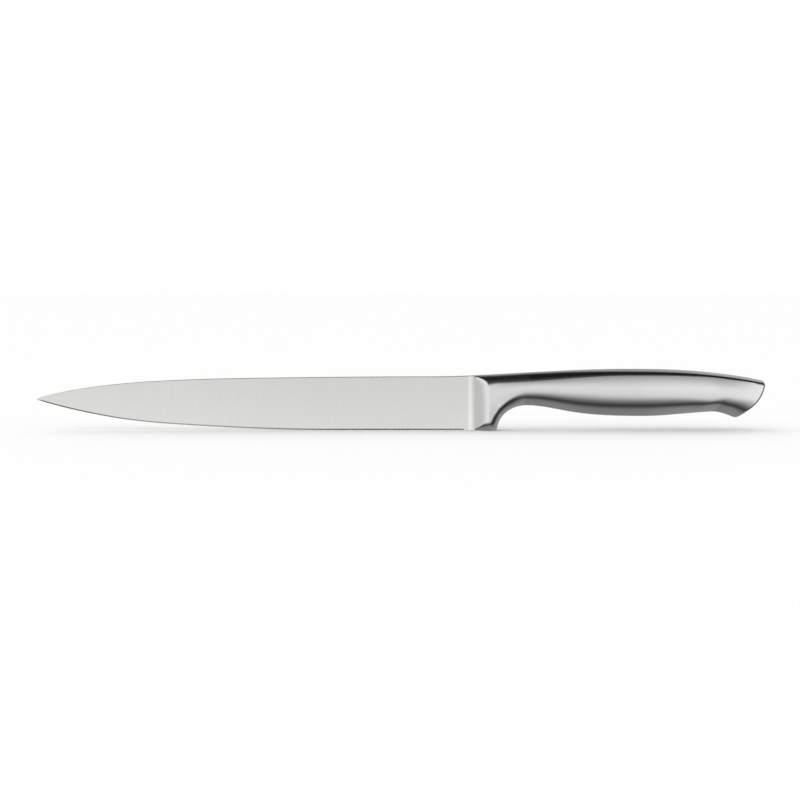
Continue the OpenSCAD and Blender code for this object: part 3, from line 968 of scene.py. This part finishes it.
def cap_ring(form, along, turn):
    """Section of the cap's rear: along runs up to the rim, turn goes round its edge"""
    h = form.h
    start = form.cap + h.bead
    right = []
    for share in shares(h.side_steps):
        radius = rim_radius(form, share)
        x = start + (END - radius - start) * along + radius * math.sin(turn)
        inset, narrow = (r * (1 - math.cos(turn)) for r in (h.rim, radius))
        right.append(form.skin(x, share * form.run(x, inset), inset, narrow))
    return closed_ring(right)


def cap_rings(form):
    """Sections of the cap from its seam to its end face"""
    rings = [cap_ring(form, k / CAP_STEPS, 0) for k in range(CAP_STEPS + 1)]
    return rings + [cap_ring(form, 1, quarter(k, RIM_STEPS)) for k in range(1, RIM_STEPS + 1)]


class KNIFE_OT_cap(bpy.types.Operator):
    """Builds the butt cap with its lip and rounded rim"""

    bl_idname = "carving_knife.cap"
    bl_label = "Butt Cap"

    def execute(self, context):
        """Builds the piece"""
        form = Form()
        h = form.h
        seat = h.wall + h.fit
        rings = [skin_ring(form, x, seat) for x in places(form.cap - h.lip, form.cap, h.pitch)]
        rings.append(skin_ring(form, form.cap, h.bead_depth))
        rings += cap_rings(form)
        dress(build("end_cap", rings), finish_of("satin_handle_steel"), "handle_steel", "butt_cap")
        return {"FINISHED"}


# Welds

BEAD_STEPS = 4


def cross_bead(name, node, front, deep, rear):
    """Bead in a groove that crosses the handle, ground flush"""
    rings = [list(sides) for sides in zip(front, deep, rear)]
    dress(build(name, rings, loop=True), finish_of("ground_weld_steel"), "weld_steel", node)


def long_ring(form, x, upper):
    """Section of the bead along the top or bottom seam"""
    h = form.h
    full = form.run(x)
    edge = form.bead_depth(x, knot_at(form.top_rounds if upper else form.low_rounds, x))
    depths = [edge * (k / BEAD_STEPS) ** 2 for k in range(BEAD_STEPS + 1)]
    deep = h.bead_depth if upper else full - h.bead_depth
    middle = form.rib_pt(form.rib(x), deep / full)
    seam = Vector((middle.x, 0, middle.y))
    if upper:
        return closed_ring([form.skin(x, d) for d in depths] + [seam])
    return closed_ring([seam] + [form.skin(x, full - d) for d in depths[::-1]])


class KNIFE_OT_welds(bpy.types.Operator):
    """Builds the flush weld beads of the root, the neck, the butt and the long seams"""

    bl_idname = "carving_knife.welds"
    bl_label = "Weld Beads"

    def execute(self, context):
        """Builds the pieces"""
        form = Form()
        h = form.h
        front = blade_ring(form, ROOT - h.bead / 2)
        deep = blade_ring(form, ROOT, h.bead_depth)
        cross_bead("root_bead", "root_weld", front, deep, blade_ring(form, ROOT))
        for name, node, x in (
            ("neck_bead", "neck_weld", SEAM),
            ("butt_bead", "butt_weld", form.cap),
        ):
            front = skin_ring(form, x - h.bead)
            deep = skin_ring(form, x, h.bead_depth)
            cross_bead(name, node, front, deep, skin_ring(form, x + h.bead))
        for name, node, upper in (
            ("spine_bead", "spine_weld", True),
            ("belly_bead", "belly_weld", False),
        ):
            rings = [long_ring(form, x, upper) for x in shell_places(form)]
            dress(build(name, rings), finish_of("ground_weld_steel"), "weld_steel", node)
        return {"FINISHED"}


class KNIFE_OT_inside(bpy.types.Operator):
    """Gives the pieces inside the handle their finishes"""

    bl_idname = "carving_knife.inside"
    bl_label = "Inner Pieces"

    def execute(self, context):
        """Sets the materials"""
        for node, kind, slot in (
            ("tang_weld", "ground_weld_steel", "weld_steel"),
            ("balance_fill", "packed_sand", "ballast"),
        ):
            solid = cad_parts[node]
            solid.data.materials.clear()
            solid.data.materials.append(finish_of(kind))
        return {"FINISHED"}


# Stage

# Brightness of the studio by height: angle in degrees and value. 0 is level on the side of the
# camera, 90 overhead, 180 level behind and -90 below.
HEIGHTS = (
    (-180, 0.3),
    (-90, 0.262),
    (-78, 0.22),
    (-70, 0.141),
    (-64, 0.079),
    (-58, 0.058),
    (-52, 0.076),
    (-46, 0.146),
    (-40, 0.192),
    (-34, 0.303),
    (-28, 0.412),
    (-22, 0.56),
    (-16, 0.65),
    (-8, 0.83),
    (0, 0.99),
    (2, 0.98),
    (4, 0.931),
    (6, 0.79),
    (8, 0.66),
    (10, 0.5),
    (13, 0.4),
    (20, 0.31),
    (28, 0.135),
    (36, 0.06),
    (62, 0.034),
    (76, 0.003),
    (110, 0.006),
    (124, 0.012),
    (132, 0.15),
    (148, 0.42),
    (160, 0.36),
    (176, 0.45),
)

# Change of that brightness along the knife: degrees to the left (-) or right (+) and factor
LENGTHS = (
    (-90, 1.14),
    (-9, 1.14),
    (-6, 1.11),
    (-3, 1.07),
    (0, 1.0),
    (3, 1.03),
    (6, 1.01),
    (7.5, 1.07),
    (9, 1.2),
    (11, 1.3),
    (90, 1.3),
)

# The pale screens at both ends: degrees, colour, and how much they hide of what is behind them
SCREEN = (
    (-90, (0.75, 0.735, 0.745), 1.0),
    (-75, (0.78, 0.765, 0.775), 1.0),
    (-60, (0.9, 0.885, 0.89), 1.0),
    (-40, (1.08, 1.08, 1.07), 1.0),
    (-25, (1.12, 1.12, 1.11), 1.0),
    (-14, (1.05, 1.05, 1.05), 0.0),
    (35, (0.62, 0.62, 0.62), 0.0),
    (44, (0.62, 0.62, 0.62), 1.0),
    (90, (0.5, 0.5, 0.5), 1.0),
)

# The screens fade in between these sines of the height below level
SCREEN_FOOT = -0.38
SCREEN_FULL = -0.28

# The dark card at the butt's end: degrees to the right and value. It stands in front of the knife
# and fades in between these shares of the way to the camera.
CARD = (
    (10.5, 1.0),
    (30, 0.3),
    (60, 0.2),
    (90, 0.5),
)
CARD_BACK = -0.5
CARD_FRONT = 0.1

PAPER = (0.97, 0.97, 0.97, 1)
PAPER_SHINE = 0.1
PAPER_GRAIN = 900.0
PAPER_HEIGHT = 0.00002


def across(degrees):
    """Place on a ramp over the sine of the angle to the side"""
    return (math.sin(math.radians(degrees)) + 1) / 2


def studio_world():
    """World that lights matt things evenly and shows metal a studio of lamps, screens and card"""
    world = bpy.data.worlds.new("studio")
    bpy.context.scene.world = world
    world.use_nodes = True
    nodes, links = world.node_tree.nodes, world.node_tree.links
    place = nodes.new("ShaderNodeTexCoord")
    split = nodes.new("ShaderNodeSeparateXYZ")
    links.new(place.outputs["Generated"], split.inputs["Vector"])
    front = math_node(nodes, links, "MULTIPLY", split.outputs["Y"], -1)
    angle = math_node(nodes, links, "ARCTAN2", split.outputs["Z"], front)
    height = remap(nodes, links, angle, 0, 1, -math.pi, math.pi)
    side = remap(nodes, links, split.outputs["X"], 0, 1, -1, 1)

    stops = [((degrees + 180) / 360, (value,) * 3, 1) for degrees, value in HEIGHTS]
    by_height = ramp_of(nodes, links, height, stops).outputs["Color"]
    by_length, card = (
        ramp_of(nodes, links, side, [(across(degrees), (value,) * 3, 1) for degrees, value in row])
        for row in (LENGTHS, CARD)
    )
    stops = [(across(degrees), tone, cover) for degrees, tone, cover in SCREEN]
    screen = ramp_of(nodes, links, side, stops)

    lit = mixed(nodes, links, "MULTIPLY", 1.0, by_height, by_length.outputs["Color"])
    above = remap(nodes, links, split.outputs["Z"], 0, 1, SCREEN_FOOT, SCREEN_FULL)
    cover = math_node(nodes, links, "MULTIPLY", screen.outputs["Alpha"], above)
    screened = mixed(nodes, links, "MIX", cover, lit, screen.outputs["Color"])
    in_front = remap(nodes, links, front, 0, 1, CARD_BACK, CARD_FRONT)
    studio = mixed(nodes, links, "MULTIPLY", in_front, screened, card.outputs["Color"])

    path = nodes.new("ShaderNodeLightPath")
    sky = (*[settings().stage.sky] * 3, 1)
    seen = mixed(nodes, links, "MIX", path.outputs["Is Glossy Ray"], sky, studio)
    links.new(seen, nodes["Background"].inputs["Color"])


def floor_material():
    """Matt white paper"""
    material, nodes, links, shader = new_material("white_paper")
    shader.inputs["Base Color"].default_value = PAPER
    shader.inputs["Roughness"].default_value = MATT
    shader.inputs["Specular IOR Level"].default_value = PAPER_SHINE
    grain = grain_noise(nodes, links, EVEN, PAPER_GRAIN)
    bumped(nodes, links, shader, grain, PAPER_HEIGHT)
    return material


class KNIFE_OT_stage(bpy.types.Operator):
    """Sets up the floor, the light and the camera"""

    bl_idname = "carving_knife.stage"
    bl_label = "Stage"

    def execute(self, context):
        """Builds the stage"""
        stage = settings().stage
        half = stage.floor
        mesh = bpy.data.meshes.new("floor")
        corners = [(-half, -half, 0), (half, -half, 0), (half, half, 0), (-half, half, 0)]
        mesh.from_pydata(corners, [], [(0, 1, 2, 3)])
        floor = bpy.data.objects.new("floor", mesh)
        context.scene.collection.objects.link(floor)
        mesh.materials.append(floor_material())
        floor.visible_glossy = False

        studio_world()
        context.scene.view_settings.view_transform = "Standard"
        context.scene.view_settings.look = "None"

        data = bpy.data.cameras.new("camera")
        data.lens = stage.lens
        distance = stage.view_width * data.lens / data.sensor_width
        back = Vector((0, -math.cos(stage.elevation), math.sin(stage.elevation)))
        aim = Vector((TIP_X + END / 2, 0, stage.view_height))
        camera = bpy.data.objects.new("camera", data)
        camera.location = aim + back * distance
        camera.rotation_euler = (-back).to_track_quat("-Z", "Y").to_euler()
        context.scene.collection.objects.link(camera)
        context.scene.camera = camera
        return {"FINISHED"}


class KNIFE_PT_panel(bpy.types.Panel):
    """Sizes and build steps of the carving knife"""

    bl_idname = "KNIFE_PT_panel"
    bl_label = "Carving Knife"
    bl_space_type = "VIEW_3D"
    bl_region_type = "UI"
    bl_category = "Knife"

    def draw(self, context):
        """Lists the steps and the settings"""
        for step in STEPS:
            self.layout.operator(step.bl_idname)
        knife = settings()
        for group in (knife.blade, knife.bolster, knife.handle, knife.finish, knife.stage):
            box = self.layout.box()
            for name in group.__annotations__:
                box.prop(group, name)


STEPS = (
    KNIFE_OT_stage,
    KNIFE_OT_blade,
    KNIFE_OT_bolster,
    KNIFE_OT_shells,
    KNIFE_OT_cap,
    KNIFE_OT_welds,
    KNIFE_OT_inside,
)
GROUPS = (
    BladeSettings,
    BolsterSettings,
    HandleSettings,
    FinishSettings,
    StageSettings,
    KnifeSettings,
)
CLASSES = (*GROUPS, *STEPS, KNIFE_PT_panel)


def register():
    """Adds the classes and the scene's settings"""
    for cls in CLASSES:
        bpy.utils.register_class(cls)
    bpy.types.Scene.carving_knife = PointerProperty(type=KnifeSettings)


def unregister():
    """Removes them again"""
    del bpy.types.Scene.carving_knife
    for cls in reversed(CLASSES):
        bpy.utils.unregister_class(cls)


def main():
    """Builds the knife and its stage"""
    register()
    bpy.ops.carving_knife.stage()
    bpy.ops.carving_knife.blade()
    bpy.ops.carving_knife.bolster()
    bpy.ops.carving_knife.shells()
    bpy.ops.carving_knife.cap()
    bpy.ops.carving_knife.welds()
    bpy.ops.carving_knife.inside()


if __name__ == "__main__":
    main()
